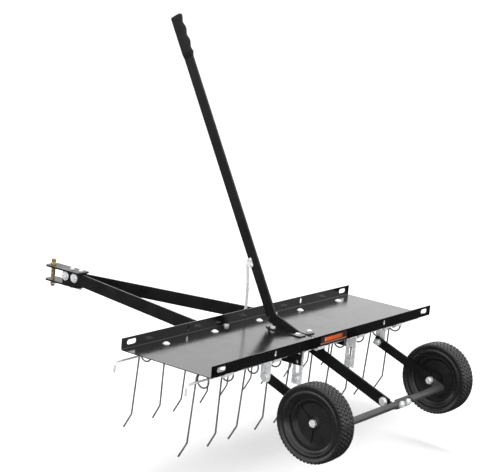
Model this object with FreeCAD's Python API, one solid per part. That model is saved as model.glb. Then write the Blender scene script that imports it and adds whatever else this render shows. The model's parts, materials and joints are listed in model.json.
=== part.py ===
import FreeCAD, Part
import math
import os

# Tow-behind lawn dethatcher, 40 inch class, in its raking position.
# Millimetres. +X is the machine's right, +Y is forward (towards the towing vehicle), +Z is up.
# The sizes are laid out from the middle of the tray; each piece is then moved forward or back so that
# the origin is on the ground under the middle of the whole machine's length.

os.makedirs("parts", exist_ok=True)
V = FreeCAD.Vector
AXIS_X = V(1, 0, 0)
AXIS_Y = V(0, 1, 0)
AXIS_Z = V(0, 0, 1)

# ---- tray ----
TRAY_LENGTH = 1016.0
TRAY_DEPTH = 287.0
TRAY_TOP = 230.0
SHEET = 2.0
LIP_HEIGHT = 28.5
LIP_BEND = 4.0
END_SLOT_INSET = 36.0
END_SLOT = (34.0, 13.0)
STRAP_SLOT_X = 255.0
STRAP_SLOT = (9.0, 15.0)
LIP_SLOT_HEIGHT = 15.5

# ---- spring tines ----
WIRE = 4.6
COIL_RADIUS = 18.2
COIL_DROP = 26.0
FRONT_COIL_Y = 137.0
REAR_COIL_Y = -91.0
FRONT_ROW_X = 18.0
REAR_ROW_X = -34.0
TINE_PITCH = 195.5
TINES_PER_ROW = 5
COIL_SPREAD = 50.0
COIL_TURN_GAP = 6.4
BOLT_SETBACK = 24.0
LOOP_SETBACK = 36.0
LEG_SPLAY = 1.7
LEG_LEAN = 3.0
TIP_BEND = 26.0
TIP_LENGTH = 46.0
KNEE_RADIUS = 14.0
OPEN_TURN = 50.0
ROD_RADIUS = 3.0
ROD_OVERHANG = 26.0
ROD_HOOK = 26.0
REAR_ROD_GAP = (-20.0, 5.5)

# ---- lift lever, wheels ----
PIVOT_Y = -127.0
PIVOT_DROP = 45.0
ARM_ANGLE = 20.27
ARM_REACH = 188.8
ARM_WIDTH = 30.0
ARM_THICK = 6.0
SIDE_ARM_WIDTH = 25.0
SIDE_ARM_X = 264.0
CENTRE_BOLT_PAST = 12.0
CORNER_REACH = 196.8
HANDLE_ANGLE = 61.35
HANDLE_LENGTH = 880.7
PIVOT_BOLT_R = 5.0
AXLE_R = 6.0
RUNNING_FIT = 0.08
SIDE_GAP = 0.4

WHEEL_X = 296.0
WHEEL_R = 98.0
TYRE_WIDTH = 54.0
TYRE_SHOULDER = 6.0
TYRE_CROWN = 1.2
HUB_R = 59.0
HUB_OUTER = 5.0
HUB_INNER = 28.4
RIM_WIDTH = 26.0
RIB_TURN = 65.0

CROSSBAR_R = 9.5
CROSSBAR_SETBACK = 36.0
CROSSBAR_JOINT_X = 55.0
CROSSBAR_TONGUE = 60.0
CROSSBAR_FLARE = 14.0
TONGUE_HALF = 12.0

# ---- drawbars and hitch ----
BAR_HEIGHT = 38.0
BAR_THICK = 5.0
BAR_TOP_DROP = 2.6
BAR_REAR = (129.0, -135.0)
BAR_FRONT_BEND = (141.0, 152.0)
BAR_HITCH_BEND = (9.0, 762.0)
BAR_NOSE_Y = 845.0
FOOT_Y = 83.0
FOOT_DROP = 22.0
FOOT_GAP = 0.8
LOOP_NOTCH = 5.0
HITCH_REAR_Y = 767.0
HITCH_NOSE_Y = 912.0
HITCH_PIN_Y = 897.0
HITCH_WIDTH = 50.0
HITCH_PLATE = 5.0
HITCH_PIN_R = 6.35
SIDE_BOLT_Y = (796.0, 833.0)
PLATE_BOLT_Y = (780.0, 816.0)

# ---- brackets ----
BRACKET_SHEET = 3.0
HEX_FACE = 0.95
M8_RADIUS = 4.0
M10_RADIUS = 5.0
LATCH_BOLT_R = 2.5
LATCH_BOLT_ALONG = (168.0, 152.0)
LATCH_SETBACK = 11.0
STRIP_SHEET = 1.6
SLOT_X = 10.0
SLOT_REAR_Y = -137.0
SLOT_FRONT_Y = 54.0
PLATE_HALF = 34.0
PLATE_NOSE_HALF = 20.0
PLATE_REAR_Y = -61.0
PLATE_CORNER_Y = 43.0
PLATE_FRONT_Y = 62.0
PLATE_BOLTS = ((-27.0, 33.0), (27.0, 33.0), (-27.0, -49.0), (27.0, -49.0))
FOOT_BOLT = (110.0, 128.0)
HANGER_Y = -124.0
HANGER_LENGTH = 94.0
HANGER_WINDOW_DROP = 50.0
STOP_DROP = 79.0
HANGER_BOLT_X = 105.0
HANGER_LIP = 5.0
SIDE_BOLT = (284.0, -132.0)
FLANGE_HALF = 15.0

DECK_UNDER = TRAY_TOP - SHEET
COIL_Z = TRAY_TOP - COIL_DROP
LOOP_Z = COIL_Z + COIL_RADIUS
LOOP_YS = (FRONT_COIL_Y - LOOP_SETBACK, REAR_COIL_Y - LOOP_SETBACK)
PIVOT_Z = TRAY_TOP - PIVOT_DROP
ARM_DIR = V(0, math.cos(math.radians(ARM_ANGLE)), math.sin(math.radians(ARM_ANGLE)))
PIVOT = V(0, PIVOT_Y, PIVOT_Z)
AXLE = PIVOT - ARM_DIR * ARM_REACH
CORNER = PIVOT + ARM_DIR * CORNER_REACH
HANDLE_DIR = V(0, math.cos(math.radians(HANDLE_ANGLE)), math.sin(math.radians(HANDLE_ANGLE)))
CENTRE_END = AXLE - ARM_DIR * CENTRE_BOLT_PAST
CROSSBAR = AXLE - ARM_DIR * CROSSBAR_SETBACK
BAR_TOP = TRAY_TOP - BAR_TOP_DROP
BAR_BOTTOM = BAR_TOP - BAR_HEIGHT
ORIGIN = V(0, (HITCH_NOSE_Y + AXLE.y - WHEEL_R) / 2, 0)
FOOT_Z = TRAY_TOP - FOOT_DROP
HITCH_BOLT_Z = BAR_BOTTOM + BAR_HEIGHT * 0.56


def save(name, shape):
    """Write one node about the origin; a list of pieces becomes a group of separate solids."""
    if isinstance(shape, list):
        shape = Part.makeCompound(shape)
    shape.translate(ORIGIN * -1)
    shape.exportStep("parts/" + name + ".step")


def box(x0, x1, y0, y1, z0, z1):
    return Part.makeBox(x1 - x0, y1 - y0, z1 - z0, V(x0, y0, z0))


def rod(start, axis, radius, length):
    return Part.makeCylinder(radius, length, start, axis)


def swept(edges, radius, start, direction):
    """A round wire of the given radius along a path of tangent edges."""
    path = Part.Wire(edges)
    section = Part.Wire([Part.makeCircle(radius, start, direction)])
    return path.makePipeShell([section], True, False)


def prism(points, push):
    face = Part.Face(Part.makePolygon(points + [points[0]]))
    return face.extrude(push)


def turned(profile, centre, axis):
    """Revolve a closed profile of (axial, radial) points about an X-wise axis through centre."""
    points = [centre + V(axial, 0, radial) for axial, radial in profile]
    face = Part.Face(Part.makePolygon(points + [points[0]]))
    return face.revolve(centre, axis, 360)


def hexagon(centre, axis, flats, height):
    """A hexagonal prism standing on centre along axis."""
    radius = flats / math.sqrt(3)
    helper = AXIS_Z if abs(axis.z) < 0.5 else AXIS_Y
    side = axis.cross(helper).normalize()
    up = side.cross(axis).normalize()
    points = []
    for step in range(6):
        turn = math.radians(60 * step)
        points.append(centre + side * radius * math.cos(turn) + up * radius * math.sin(turn))
    return prism(points, axis * height)


def hex_head(seat, outward, flats, height):
    """A bolt head or nut on its seat, with the corners of its outer end bevelled at 30 degrees."""
    face_radius = flats / 2 * HEX_FACE
    foot_radius = face_radius + height * math.sqrt(3)
    cone = Part.makeCone(face_radius, foot_radius, height, seat + outward * height, outward * -1)
    return hexagon(seat, outward, flats, height).common(cone)


def bolt(head_seat, axis, grip, radius, flats, washer=0.0):
    """A hex bolt with its nut: the head sits outside head_seat, the shank runs along axis for grip."""
    head = hex_head(head_seat, axis * -1, flats, radius * 1.3)
    shank = rod(head_seat - axis, axis, radius, grip + radius * 2.2 + 1)
    nut = hex_head(head_seat + axis * grip, axis, flats, radius * 1.6)
    solid = head.fuse(shank).fuse(nut)
    if washer > 0:
        flange = rod(head_seat - axis * 1.6, axis, washer, 1.6)
        solid = solid.fuse(flange)
    return solid.removeSplitter()


def carriage_bolt(head_seat, grip, radius, head_radius, head_height):
    """A domed bolt standing head up on head_seat, with its nut below."""
    ball_radius = (head_radius ** 2 + head_height ** 2) / (2 * head_height)
    ball = Part.makeSphere(ball_radius, head_seat + V(0, 0, head_height - ball_radius))
    above = rod(head_seat, AXIS_Z, head_radius + 1, head_height + 1)
    dome = ball.common(above)
    shank = rod(head_seat - AXIS_Z * (grip + radius * 2.2), AXIS_Z, radius, grip + radius * 2.2 + 1)
    nut = hex_head(head_seat - AXIS_Z * grip, AXIS_Z * -1, radius * 3.3, radius * 1.6)
    return dome.fuse(shank).fuse(nut).removeSplitter()


def obround(centre, long_axis, cut_axis, length, width, depth):
    """A rounded slot cutter, centred, running depth/2 each way along cut_axis."""
    half = (length - width) / 2
    start = centre - cut_axis * depth / 2
    side = cut_axis.cross(long_axis)
    corners = []
    for a, b in ((-1, -1), (1, -1), (1, 1), (-1, 1)):
        corners.append(start + long_axis * (half * a) + side * (width / 2 * b))
    middle = prism(corners, cut_axis * depth)
    ends = [rod(start + long_axis * (half * a), cut_axis, width / 2, depth) for a in (-1, 1)]
    return middle.fuse(ends[0]).fuse(ends[1]).removeSplitter()


def mirrored_box(side, x0, x1, y0, y1, z0, z1):
    """A box given by its distances from the centre plane, on the left (-1) or right (1) side."""
    low, high = sorted((side * x0, side * x1))
    return box(low, high, y0, y1, z0, z1)


def loop_notch(x0, x1, loop_y):
    """Cutter for the way of a tine's cross wire."""
    low, high = sorted((x0, x1))
    half = LOOP_NOTCH
    return box(low - 1, high + 1, loop_y - half, loop_y + half, LOOP_Z - half, DECK_UNDER)


def unit_centres(row_x):
    middle = (TINES_PER_ROW - 1) / 2
    return [row_x + TINE_PITCH * (index - middle) for index in range(TINES_PER_ROW)]


def tine_bolt_places():
    places = [(x, FRONT_COIL_Y - BOLT_SETBACK) for x in unit_centres(FRONT_ROW_X)]
    places += [(x, REAR_COIL_Y - BOLT_SETBACK) for x in unit_centres(REAR_ROW_X)]
    return places


def bracket_bolt_places():
    """Deck bolts of the drawbar feet, the slotted hangers and the side brackets."""
    places = []
    for side in (-1, 1):
        places.append((side * FOOT_BOLT[0], FOOT_BOLT[1]))
        places.append((side * HANGER_BOLT_X, HANGER_Y))
        places.append((side * SIDE_BOLT[0], SIDE_BOLT[1]))
    return places


# ---------------------------------------------------------------- tray
def tray():
    half_x = TRAY_LENGTH / 2
    half_y = TRAY_DEPTH / 2
    top = TRAY_TOP + LIP_HEIGHT
    bend = LIP_BEND
    inner = bend - SHEET

    def channel(offset, radius):
        """Open U path of one skin of the sheet, seen along X."""
        y = half_y - offset
        z = DECK_UNDER + offset
        lift = radius * (1 - math.sqrt(0.5))
        edges = [Part.LineSegment(V(0, radius - y, z), V(0, y - radius, z)).toShape()]
        for hand in (-1, 1):
            foot = V(0, hand * (y - radius), z)
            middle = V(0, hand * (y - lift), z + lift)
            wall = V(0, hand * y, z + radius)
            edges.append(Part.Arc(foot, middle, wall).toShape())
            edges.append(Part.LineSegment(wall, V(0, hand * y, top)).toShape())
        return edges

    outer = channel(0, bend)
    skin = channel(SHEET, inner)
    cap_front = Part.LineSegment(V(0, half_y, top), V(0, half_y - SHEET, top)).toShape()
    cap_rear = Part.LineSegment(V(0, -half_y, top), V(0, -half_y + SHEET, top)).toShape()
    outline = Part.Wire(Part.__sortEdges__(outer + skin + [cap_front, cap_rear]))
    body = Part.Face(outline).extrude(AXIS_X * TRAY_LENGTH)
    body.translate(V(-half_x, 0, 0))

    slot_z = TRAY_TOP + LIP_SLOT_HEIGHT
    for side_y in (-half_y, half_y):
        for side_x in (-1, 1):
            end = V(side_x * (half_x - END_SLOT_INSET), side_y, slot_z)
            body = body.cut(obround(end, AXIS_X, AXIS_Y, END_SLOT[0], END_SLOT[1], 20))
            strap = V(side_x * STRAP_SLOT_X, side_y, slot_z)
            body = body.cut(obround(strap, AXIS_Z, AXIS_Y, STRAP_SLOT[1], STRAP_SLOT[0], 20))

    middle = V(0, (SLOT_REAR_Y + SLOT_FRONT_Y) / 2, TRAY_TOP)
    body = body.cut(obround(middle, AXIS_Y, AXIS_Z, SLOT_FRONT_Y - SLOT_REAR_Y, SLOT_X, 20))
    for x, y in tine_bolt_places() + bracket_bolt_places() + list(PLATE_BOLTS):
        body = body.cut(rod(V(x, y, TRAY_TOP - 10), AXIS_Z, M8_RADIUS, 20))
    return body


def slot_plate():
    """Wear plate on the deck round the front of the lever's slot, its front corners cut back."""
    right = [(PLATE_HALF, PLATE_REAR_Y), (PLATE_HALF, PLATE_CORNER_Y), (PLATE_NOSE_HALF, PLATE_FRONT_Y)]
    left = [(-x, y) for x, y in reversed(right)]
    corners = [V(x, y, TRAY_TOP) for x, y in right + left]
    plate = Part.Face(Part.makePolygon(corners + [corners[0]])).extrude(AXIS_Z * BRACKET_SHEET)
    middle = V(0, (SLOT_REAR_Y + SLOT_FRONT_Y) / 2 - 20, TRAY_TOP)
    plate = plate.cut(obround(middle, AXIS_Y, AXIS_Z, SLOT_FRONT_Y - SLOT_REAR_Y + 40, SLOT_X, 20))
    for x, y in PLATE_BOLTS:
        plate = plate.cut(rod(V(x, y, TRAY_TOP - 5), AXIS_Z, M8_RADIUS, 20))
    return plate


# ---------------------------------------------------------------- tines
def tine_spring(centre_x, coil_y):
    """Fixed part of one double tine: a coil turn each side, joined by the loop that the clamp holds."""
    top = LOOP_Z
    inner = COIL_SPREAD - COIL_TURN_GAP
    corner = 7.0
    ease = corner * (1 - math.sqrt(0.5))
    rear = coil_y - LOOP_SETBACK
    gap = math.radians(OPEN_TURN)
    edges = []
    for side in (-1, 1):
        x = centre_x + side * inner
        crest = V(x, coil_y, top)
        free_end = V(x, coil_y - COIL_RADIUS * math.sin(gap), COIL_Z + COIL_RADIUS * math.cos(gap))
        bottom = V(x, coil_y, COIL_Z - COIL_RADIUS)
        turn_start = V(x, rear + corner, top)
        turn_middle = V(x - side * ease, rear + ease, top)
        turn_end = V(x - side * corner, rear, top)
        ring = Part.Arc(free_end, bottom, crest).toShape()
        tail = Part.LineSegment(crest, turn_start).toShape()
        turn = Part.Arc(turn_start, turn_middle, turn_end).toShape()
        edges.append([ring, tail, turn])
        if side < 0:
            first = free_end
    cross_start = V(centre_x - inner + corner, rear, top)
    cross_end = V(centre_x + inner - corner, rear, top)
    cross = Part.LineSegment(cross_start, cross_end).toShape()
    left, right = edges
    start_direction = V(0, -math.cos(gap), -math.sin(gap))
    return swept(left + [cross] + right[::-1], WIRE / 2, first, start_direction)


def tine_leg(centre_x, coil_y, side):
    """The working turn of the coil and the leg that hangs from its front, ending in a bent tip."""
    start_turn = math.radians(LEG_LEAN)
    bend = math.radians(TIP_BEND)
    radius = COIL_RADIUS
    lean = math.radians(LEG_LEAN)
    down = V(0, math.sin(lean), -math.cos(lean))
    tip_angle = lean + bend
    tip_dir = V(0, math.sin(tip_angle), -math.cos(tip_angle))
    front = V(0, radius * math.cos(start_turn), radius * math.sin(start_turn))
    back = front * -1
    near = math.radians(LEG_LEAN - OPEN_TURN)
    open_end = V(0, radius * math.cos(near), radius * math.sin(near))
    ring = Part.Arc(open_end, back, front).toShape()

    knee_trim = KNEE_RADIUS * math.tan(bend / 2)
    tip_z = TIP_LENGTH * math.cos(tip_angle)
    foot = WIRE / 2 * math.sin(tip_angle)
    fall = COIL_Z + front.z - tip_z - foot
    leg_length = fall / math.cos(lean)
    knee = front + down * leg_length
    before = knee - down * knee_trim
    after = knee + tip_dir * knee_trim
    inward = (tip_dir - down).normalize()
    middle = knee + inward * (KNEE_RADIUS * (1 / math.cos(bend / 2) - 1))
    leg = Part.LineSegment(front, before).toShape()
    knee_arc = Part.Arc(before, middle, after).toShape()
    tip = Part.LineSegment(after, knee + tip_dir * TIP_LENGTH).toShape()
    tangent = V(0, -math.sin(near), math.cos(near))
    solid = swept([ring, leg, knee_arc, tip], WIRE / 2, open_end, tangent)
    solid.rotate(V(0, 0, 0), AXIS_Y, -side * LEG_SPLAY)
    solid.translate(V(centre_x + side * COIL_SPREAD, coil_y, COIL_Z))
    return solid


def tine_clamp(x, y):
    """Small zinc saddle that traps the cross wire of one double tine against the deck."""
    radius = WIRE / 2
    half = 16.0
    wire_y = y + BOLT_SETBACK - LOOP_SETBACK
    pad = box(x - half, x + half, wire_y - 6, y + 9, LOOP_Z - radius - BRACKET_SHEET, DECK_UNDER)
    channel = rod(V(x - half - 1, wire_y, LOOP_Z), AXIS_X, radius, 2 * half + 2)
    relief = box(x - half - 1, x + half + 1, wire_y - radius, wire_y + radius, LOOP_Z, DECK_UNDER)
    hole = rod(V(x, y, LOOP_Z - 20), AXIS_Z, M8_RADIUS, 40)
    return pad.cut(channel.fuse(relief)).cut(hole)


def tine_rod(coil_y, right_x):
    """Retaining rod through the coils of a row, with its left end bent down."""
    half_x = TRAY_LENGTH / 2
    hook = 9.0
    ease = hook * (1 - math.sqrt(0.5))
    left = V(-half_x - ROD_OVERHANG, coil_y, COIL_Z)
    right = V(right_x, coil_y, COIL_Z)
    bend_start = left + V(hook, 0, 0)
    bend_mid = left + V(ease, 0, -ease)
    bend_end = left + V(0, 0, -hook)
    run = Part.LineSegment(right, bend_start).toShape()
    bend = Part.Arc(bend_start, bend_mid, bend_end).toShape()
    end = Part.LineSegment(bend_end, left + V(0, 0, -ROD_HOOK)).toShape()
    return swept([run, bend, end], ROD_RADIUS, right, AXIS_X)


def rod_end_x():
    return TRAY_LENGTH / 2 + ROD_OVERHANG + ROD_RADIUS


# ---------------------------------------------------------------- drawbars and hitch
def bar_path(side, offset):
    """Plan outline of one drawbar at a sideways offset from its middle plane."""
    points = []
    for x, y in (BAR_REAR, BAR_FRONT_BEND, BAR_HITCH_BEND, (BAR_HITCH_BEND[0], BAR_NOSE_Y)):
        points.append(V(side * (x + offset), y, BAR_BOTTOM))
    return points


def drawbar(side):
    """Flat bar on edge from the rear lip, out under the front lip and in to the clevis."""
    outer = bar_path(side, BAR_THICK / 2)
    inner = bar_path(side, -BAR_THICK / 2)
    bar = prism(outer + inner[::-1], AXIS_Z * BAR_HEIGHT)
    for y in SIDE_BOLT_Y:
        bar = bar.cut(rod(V(-40, y, HITCH_BOLT_Z), AXIS_X, M10_RADIUS, 80))
    for y in (FRONT_COIL_Y, REAR_COIL_Y):
        bar = bar.cut(rod(V(side * bar_x(y) - 20, y, COIL_Z), AXIS_X, ROD_RADIUS + 0.2, 40))
    for y in LOOP_YS:
        bar = bar.cut(loop_notch(side * bar_x(y) - 20, side * bar_x(y) + 20, y))
    bar = bar.cut(rod(V(side * bar_x(FOOT_Y) - 20, FOOT_Y, FOOT_Z), AXIS_X, PIVOT_BOLT_R, 40))
    return bar.cut(rod(V(side * bar_x(HANGER_Y) - 20, HANGER_Y, FOOT_Z - 10), AXIS_X, PIVOT_BOLT_R, 40))


def bar_x(y):
    """Distance of a drawbar's middle plane from the centre line, under the deck."""
    share = (y - BAR_REAR[1]) / (BAR_FRONT_BEND[1] - BAR_REAR[1])
    return BAR_REAR[0] + share * (BAR_FRONT_BEND[0] - BAR_REAR[0])


def hitch_plate(bottom):
    half = HITCH_WIDTH / 2
    plate = box(-half, half, HITCH_REAR_Y, HITCH_NOSE_Y, bottom, bottom + HITCH_PLATE)
    for end_y, round_radius in ((HITCH_NOSE_Y, 13.0), (HITCH_REAR_Y, 6.0)):
        corners = []
        for edge in plate.Edges:
            middle = edge.CenterOfMass
            if abs(middle.y - end_y) < 1 and abs(abs(middle.x) - half) < 1:
                corners.append(edge)
        plate = plate.makeFillet(round_radius, corners)
    plate = plate.cut(rod(V(0, HITCH_PIN_Y, bottom - 5), AXIS_Z, HITCH_PIN_R + RUNNING_FIT, 20))
    for y in PLATE_BOLT_Y:
        plate = plate.cut(rod(V(0, y, bottom - 5), AXIS_Z, M8_RADIUS, 20))
    return plate


def hitch_bolts():
    """Two flange bolts across the bars, and two bolts down between them through both plates."""
    seat_x = -(BAR_HITCH_BEND[0] + BAR_THICK / 2)
    solids = [bolt(V(seat_x, y, HITCH_BOLT_Z), AXIS_X, -2 * seat_x, M10_RADIUS, 17, 14.0) for y in SIDE_BOLT_Y]
    top = BAR_TOP + HITCH_PLATE
    grip = BAR_HEIGHT + 2 * HITCH_PLATE
    solids += [bolt(V(0, y, top), AXIS_Z * -1, grip, M8_RADIUS, 13) for y in PLATE_BOLT_Y]
    return solids


def hitch_pin():
    """Brass pin with a collar and a domed head above the clevis, cross drilled below it."""
    seat = BAR_TOP + HITCH_PLATE + SIDE_GAP
    head = 19.0
    bottom = BAR_BOTTOM - HITCH_PLATE - 20
    shank = rod(V(0, HITCH_PIN_Y, bottom), AXIS_Z, HITCH_PIN_R, seat + head - bottom)
    pin = shank.fuse(rod(V(0, HITCH_PIN_Y, seat), AXIS_Z, 9.5, 5))
    tip = [edge for edge in pin.Edges if abs(edge.CenterOfMass.z - bottom) < 0.1]
    pin = pin.makeChamfer(2.0, tip)
    crown = [edge for edge in pin.Edges if abs(edge.CenterOfMass.z - seat - head) < 0.1]
    pin = pin.makeFillet(2.0, crown)
    return pin.cut(rod(V(-20, HITCH_PIN_Y, bottom + 10), AXIS_X, 1.8, 40))


def hairpin():
    """Spring clip: one straight leg through the pin, a loop at the end, and a waved leg outside."""
    wire = 1.5
    z = BAR_BOTTOM - HITCH_PLATE - 10
    reach = HITCH_PIN_R + 6
    loop = 6.0
    back = 22.0
    straight_start = V(-reach, HITCH_PIN_Y, z)
    straight_end = V(back, HITCH_PIN_Y, z)
    loop_mid = V(back + loop, HITCH_PIN_Y - loop, z)
    loop_end = V(back, HITCH_PIN_Y - 2 * loop, z)
    leg = Part.LineSegment(straight_start, straight_end).toShape()
    bend = Part.Arc(straight_end, loop_mid, loop_end).toShape()
    outer = Part.LineSegment(loop_end, V(-reach, HITCH_PIN_Y - 2 * loop, z)).toShape()
    return swept([leg, bend, outer], wire, straight_start, AXIS_X)


def drawbar_foot(side):
    """Angle under the deck, bolted through to the inner side of a drawbar near the front lip."""
    outer = bar_x(FOOT_Y) - BAR_THICK / 2 - FOOT_GAP
    inner = FOOT_BOLT[0] - 11
    tab_outer = FOOT_BOLT[0] + 11
    rear = FOOT_Y - 14
    front = FOOT_Y + 14
    under = DECK_UNDER - BRACKET_SHEET
    cheek = mirrored_box(side, outer - BRACKET_SHEET, outer, rear, front, FOOT_Z - 13, DECK_UNDER)
    flange = mirrored_box(side, inner, outer, rear, front, under, DECK_UNDER)
    tab = mirrored_box(side, inner, tab_outer, rear, FOOT_BOLT[1] + 10, under, DECK_UNDER)
    foot = cheek.fuse(flange).fuse(tab).removeSplitter()
    foot = foot.cut(rod(V(side * outer - 8, FOOT_Y, FOOT_Z), AXIS_X, PIVOT_BOLT_R, 16))
    return foot.cut(rod(V(side * FOOT_BOLT[0], FOOT_BOLT[1], under - 5), AXIS_Z, M8_RADIUS, 20))


def hanger_outer_x():
    """Outer face of a slotted hanger, against the inner face of the drawbar."""
    return bar_x(HANGER_Y - FLANGE_HALF) - BAR_THICK / 2


def slotted_hanger(side):
    """Zinc strap down the inner side of a drawbar's rear end, with a long window and a low bolt."""
    outer = hanger_outer_x()
    inner = outer - BRACKET_SHEET
    y0 = HANGER_Y - FLANGE_HALF
    y1 = HANGER_Y + FLANGE_HALF
    bottom = TRAY_TOP - HANGER_LENGTH
    under = DECK_UNDER - BRACKET_SHEET
    strap = mirrored_box(side, inner, outer, y0, y1, bottom, DECK_UNDER)
    for y in (y0, y1 - BRACKET_SHEET):
        lip = mirrored_box(side, outer - HANGER_LIP, inner, y, y + BRACKET_SHEET, bottom, DECK_UNDER)
        strap = strap.fuse(lip)
    flange = mirrored_box(side, HANGER_BOLT_X - 11, outer, y0, y1, under, DECK_UNDER)
    strap = strap.fuse(flange).removeSplitter()
    middle_x = side * (outer - BRACKET_SHEET / 2)
    window = V(middle_x, HANGER_Y, TRAY_TOP - HANGER_WINDOW_DROP)
    strap = strap.cut(obround(window, AXIS_Z, AXIS_X, 28, 10, 8))
    strap = strap.cut(rod(V(middle_x - 10, HANGER_Y, TRAY_TOP - STOP_DROP), AXIS_X, PIVOT_BOLT_R, 20))
    wire_way = loop_notch(middle_x - 8, middle_x + 8, LOOP_YS[1])
    wire_way = wire_way.cut(box(-400, 400, -400, 400, under, DECK_UNDER))
    strap = strap.cut(wire_way)
    return strap.cut(rod(V(side * HANGER_BOLT_X, HANGER_Y, under - 5), AXIS_Z, M8_RADIUS, 20))


def drawbar_bolts():
    """A bolt through each drawbar and its foot, and a bolt low in each hanger."""
    solids = []
    for side in (-1, 1):
        middle = side * bar_x(FOOT_Y)
        inner = middle - side * (BAR_THICK / 2 + FOOT_GAP + BRACKET_SHEET)
        grip = BAR_THICK + BRACKET_SHEET + 2 * FOOT_GAP
        solids.append(bolt(V(inner, FOOT_Y, FOOT_Z), AXIS_X * side, grip, PIVOT_BOLT_R, 17))
        seat = side * (hanger_outer_x() - BRACKET_SHEET)
        low = V(seat, HANGER_Y, TRAY_TOP - STOP_DROP)
        solids.append(bolt(low, AXIS_X * side, BRACKET_SHEET, PIVOT_BOLT_R, 17))
    return solids


# ---------------------------------------------------------------- lift lever
def flat_bar(start, end, x, width, rounded=False):
    """A flat bar on edge in a YZ plane, with its start optionally rounded about the start point."""
    along = (end - start).normalize()
    across = AXIS_X.cross(along)
    half = width / 2
    base = V(x - ARM_THICK / 2, 0, 0)
    corners = [start - across * half, end - across * half, end + across * half, start + across * half]
    solid = prism([base + point for point in corners], AXIS_X * ARM_THICK)
    if rounded:
        solid = solid.fuse(rod(base + start, AXIS_X, half, ARM_THICK)).removeSplitter()
    return solid


def cross_hole(solid, x, point, radius):
    return solid.cut(rod(V(x - 20, point.y, point.z), AXIS_X, radius, 40))


def side_arm(side):
    x = side * SIDE_ARM_X
    nose = PIVOT + ARM_DIR * 14
    arm = flat_bar(AXLE, nose, x, SIDE_ARM_WIDTH, True)
    arm = cross_hole(arm, x, PIVOT, PIVOT_BOLT_R + RUNNING_FIT)
    return cross_hole(arm, x, AXLE, AXLE_R)


def centre_arm():
    arm = flat_bar(CENTRE_END - ARM_DIR * 13, CORNER + ARM_DIR * 6, 0, ARM_WIDTH)
    return cross_hole(arm, 0, CENTRE_END, PIVOT_BOLT_R)


def lift_handle():
    handle = flat_bar(CORNER + HANDLE_DIR * 6, CORNER + HANDLE_DIR * HANDLE_LENGTH, 0, ARM_WIDTH)
    return handle.cut(centre_arm())


def grip_outline():
    """Side outline of the grip: plain front edge, three finger bumps on the rear edge."""
    across = AXIS_X.cross(HANDLE_DIR)
    end = CORNER + HANDLE_DIR * (HANDLE_LENGTH + 2.5)
    length = 124.0
    half = ARM_WIDTH / 2 + 2.5
    bump = 4.0
    count = 4
    foot = end - HANDLE_DIR * length
    step = length / count
    edges = []
    for index in range(count):
        low = foot + HANDLE_DIR * (step * index) + across * half
        crest = low + HANDLE_DIR * (step / 2) + across * bump
        high = low + HANDLE_DIR * step
        edges.append(Part.Arc(low, crest, high).toShape())
    top_rear = end + across * half
    top_front = end - across * half
    foot_front = foot - across * half
    foot_rear = foot + across * half
    edges.append(Part.LineSegment(top_rear, top_front).toShape())
    edges.append(Part.LineSegment(top_front, foot_front).toShape())
    edges.append(Part.LineSegment(foot_front, foot_rear).toShape())
    return Part.Wire(Part.__sortEdges__(edges))


def handle_grip():
    thick = ARM_THICK + 7
    face = Part.Face(grip_outline())
    face.translate(V(-thick / 2, 0, 0))
    grip = face.extrude(AXIS_X * thick)
    return grip.cut(flat_bar(CORNER, CORNER + HANDLE_DIR * HANDLE_LENGTH, 0, ARM_WIDTH))


def latch_points():
    """Two bolt places on the handle, and the foot of the latch strip ahead of the front lip."""
    forward = AXIS_X.cross(HANDLE_DIR) * -LATCH_SETBACK
    upper = CORNER + HANDLE_DIR * LATCH_BOLT_ALONG[0] + forward
    lower = CORNER + HANDLE_DIR * LATCH_BOLT_ALONG[1] + forward
    foot = V(0, TRAY_DEPTH / 2 + 6, TRAY_TOP + 12)
    return upper, lower, foot


def latch_strip():
    """Spring strip: a tab on the handle's left face, and a bowed blade down past the front lip."""
    upper, lower, foot = latch_points()
    face_x = -ARM_THICK / 2
    thick = STRIP_SHEET
    half = 6.0
    top = V(0, foot.y + 7, lower.z + 4)
    bow = V(0, (foot.y + top.y) / 2 - 4, (foot.z + top.z) / 2)
    spine = Part.Arc(foot, bow, top).toShape()
    corners = [V(-half, 0, 0), V(half, 0, 0), V(half, thick, 0), V(-half, thick, 0), V(-half, 0, 0)]
    section = Part.makePolygon([foot + corner for corner in corners])
    blade = Part.Wire([spine]).makePipeShell([section], True, False)
    front = top.y + thick
    tab_points = [
        V(0, front, top.z - 6), V(0, front, top.z + 10), V(0, upper.y - 3, upper.z + 8),
        V(0, lower.y - 6, lower.z + 2), V(0, lower.y, lower.z - 8)]
    tab = prism([point + V(face_x - thick, 0, 0) for point in tab_points], AXIS_X * thick)
    strip = blade.fuse(tab)
    for point in (upper, lower):
        strip = strip.cut(rod(V(-20, point.y, point.z), AXIS_X, LATCH_BOLT_R, 40))
    return strip.removeSplitter()


def drilled_handle():
    handle = lift_handle()
    for point in latch_points()[:2]:
        handle = cross_hole(handle, 0, point, 2.5)
    return handle


def latch_bolts():
    seat = -ARM_THICK / 2 - STRIP_SHEET
    grip = ARM_THICK + STRIP_SHEET
    return [bolt(V(seat, point.y, point.z), AXIS_X, grip, LATCH_BOLT_R, 8) for point in latch_points()[:2]]


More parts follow.
